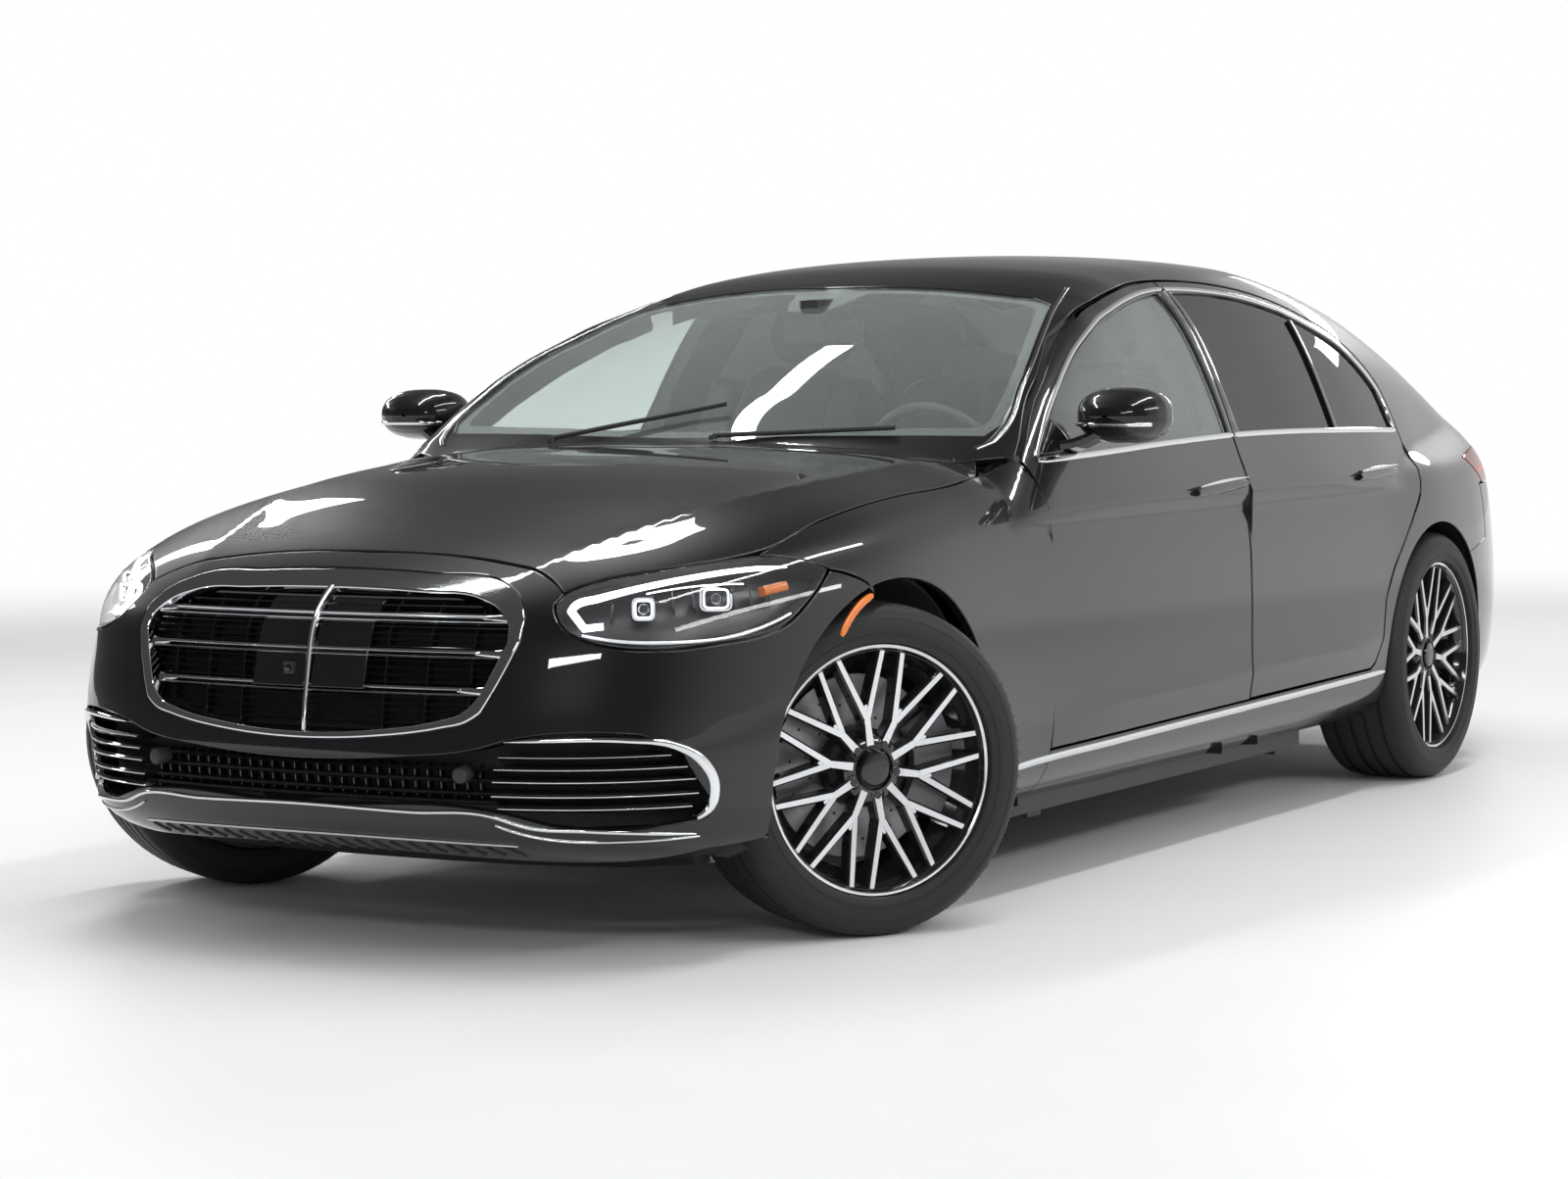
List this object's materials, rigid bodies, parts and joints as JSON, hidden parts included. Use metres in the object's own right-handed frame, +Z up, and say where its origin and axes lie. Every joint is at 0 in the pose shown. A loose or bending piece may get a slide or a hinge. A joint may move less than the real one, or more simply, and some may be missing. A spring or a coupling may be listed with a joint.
{
  "type": "four-door sedan car",
  "caption": "Large four-door luxury sedan with opening doors, hood and trunk lid, steered front wheels and rolling wheels.",
  "frame": {"origin": "on the floor under the middle of the car", "axes": "+X forward, +Y to the car's left, +Z up"},
  "size_m": [5.2853, 2.2136, 1.4995],
  "materials": {
    "paint": "gloss black paint under clear coat",
    "clear_glass": "clear laminated glass, slightly green",
    "tinted_glass": "dark tinted glass",
    "lamp_glass": "clear lamp cover over bright reflectors",
    "lamp_red": "red lamp cover",
    "chrome": "polished",
    "black_plastic": "grained black",
    "dark_metal": "dip-coated steel",
    "cast_block": "as cast",
    "steel": "stainless steel",
    "cast_aluminium": "cast aluminium",
    "alloy": "machined faces, black pockets",
    "disc_steel": "turned iron",
    "tyre": "black rubber",
    "seat_leather": "black stitched leather"
  },
  "bodies": {
    "body": {"body_shell": "paint", "front_fenders": "paint", "front_bumper": "paint", "rear_bumper": "paint", "windscreen": "clear_glass", "rear_window": "tinted_glass", "grille": "chrome", "lower_grille": "black_plastic", "headlamps": "lamp_glass", "tail_lamps": "lamp_red", "wipers": "black_plastic", "underbody": "dark_metal", "rear_bulkhead": "dark_metal", "engine": "cast_block", "exhaust": "steel", "front_suspension": "dark_metal", "rear_suspension": "dark_metal", "dashboard": "black_plastic", "front_seat_left": "seat_leather", "front_seat_right": "seat_leather", "rear_seat": "seat_leather"},
    "hood": {"hood": "paint"},
    "trunk_lid": {"trunk_lid": "paint", "lid_lamps": "lamp_red"},
    "steering_wheel": {"steering_wheel": "black_plastic"},
    "door_front_left": {"door_front_left": "paint", "door_glass_front_left": "clear_glass", "mirror_left": "paint"},
    "wheel_front_left": {"tyre_front_left": "tyre", "rim_front_left": "alloy", "brake_disc_front_left": "disc_steel"},
    "door_front_right": {"door_front_right": "paint", "door_glass_front_right": "clear_glass", "mirror_right": "paint"},
    "wheel_front_right": {"tyre_front_right": "tyre", "rim_front_right": "alloy", "brake_disc_front_right": "disc_steel"},
    "door_rear_left": {"door_rear_left": "paint", "door_glass_rear_left": "tinted_glass"},
    "wheel_rear_left": {"tyre_rear_left": "tyre", "rim_rear_left": "alloy", "brake_disc_rear_left": "disc_steel"},
    "door_rear_right": {"door_rear_right": "paint", "door_glass_rear_right": "tinted_glass"},
    "wheel_rear_right": {"tyre_rear_right": "tyre", "rim_rear_right": "alloy", "brake_disc_rear_right": "disc_steel"},
    "knuckle_left": {"knuckle_front_left": "cast_aluminium"},
    "knuckle_right": {"knuckle_front_right": "cast_aluminium"}
  },
  "joints": [
    {"name": "steer_left", "type": "hinge", "parent": "body", "child": "knuckle_left", "pos_m": [1.7825, 0.83, 0.356], "axis": [0, 0, 1], "range_deg": [-7, 69]},
    {"name": "steer_right", "type": "hinge", "parent": "body", "child": "knuckle_right", "pos_m": [1.7825, -0.83, 0.356], "axis": [0, 0, 1], "range_deg": [-7, 69]},
    {"name": "roll_front_left", "type": "hinge", "parent": "knuckle_left", "child": "wheel_front_left", "pos_m": [1.7825, 0.83, 0.356], "axis": [0.515, 0.8572, 0], "continuous": true},
    {"name": "roll_rear_left", "type": "hinge", "parent": "body", "child": "wheel_rear_left", "pos_m": [-1.4335, 0.838, 0.356], "axis": [0, 1, 0], "continuous": true},
    {"name": "door_front_left_hinge", "type": "hinge", "parent": "body", "child": "door_front_left", "pos_m": [0.972, 0.91527, 0.7], "axis": [0, 0, -1], "range_deg": [0, 68]},
    {"name": "door_rear_left_hinge", "type": "hinge", "parent": "body", "child": "door_rear_left", "pos_m": [-0.168, 0.91527, 0.7], "axis": [0, 0, -1], "range_deg": [0, 68]},
    {"name": "roll_front_right", "type": "hinge", "parent": "knuckle_right", "child": "wheel_front_right", "pos_m": [1.7825, -0.83, 0.356], "axis": [0.515, 0.8572, 0], "continuous": true},
    {"name": "roll_rear_right", "type": "hinge", "parent": "body", "child": "wheel_rear_right", "pos_m": [-1.4335, -0.838, 0.356], "axis": [0, 1, 0], "continuous": true},
    {"name": "door_front_right_hinge", "type": "hinge", "parent": "body", "child": "door_front_right", "pos_m": [0.972, -0.91527, 0.7], "axis": [0, 0, 1], "range_deg": [0, 68]},
    {"name": "door_rear_right_hinge", "type": "hinge", "parent": "body", "child": "door_rear_right", "pos_m": [-0.168, -0.91527, 0.7], "axis": [0, 0, 1], "range_deg": [0, 68]},
    {"name": "hood_hinge", "type": "hinge", "parent": "body", "child": "hood", "pos_m": [1.08, 0, 0.98324], "axis": [0, -1, 0], "range_deg": [0, 48]},
    {"name": "trunk_hinge", "type": "hinge", "parent": "body", "child": "trunk_lid", "pos_m": [-1.8, 0, 1.09], "axis": [0, 1, 0], "range_deg": [0, 75]},
    {"name": "steering_wheel_turn", "type": "hinge", "parent": "body", "child": "steering_wheel", "pos_m": [0.61, 0.418, 0.93], "axis": [-0.9135, 0, 0.4067], "range_deg": [-91, 897]}
  ],
  "couplings": [
    {"joint": "steer_right", "follows": "steer_left", "ratio": 1},
    {"joint": "steering_wheel_turn", "follows": "steer_left", "ratio": 13}
  ]
}
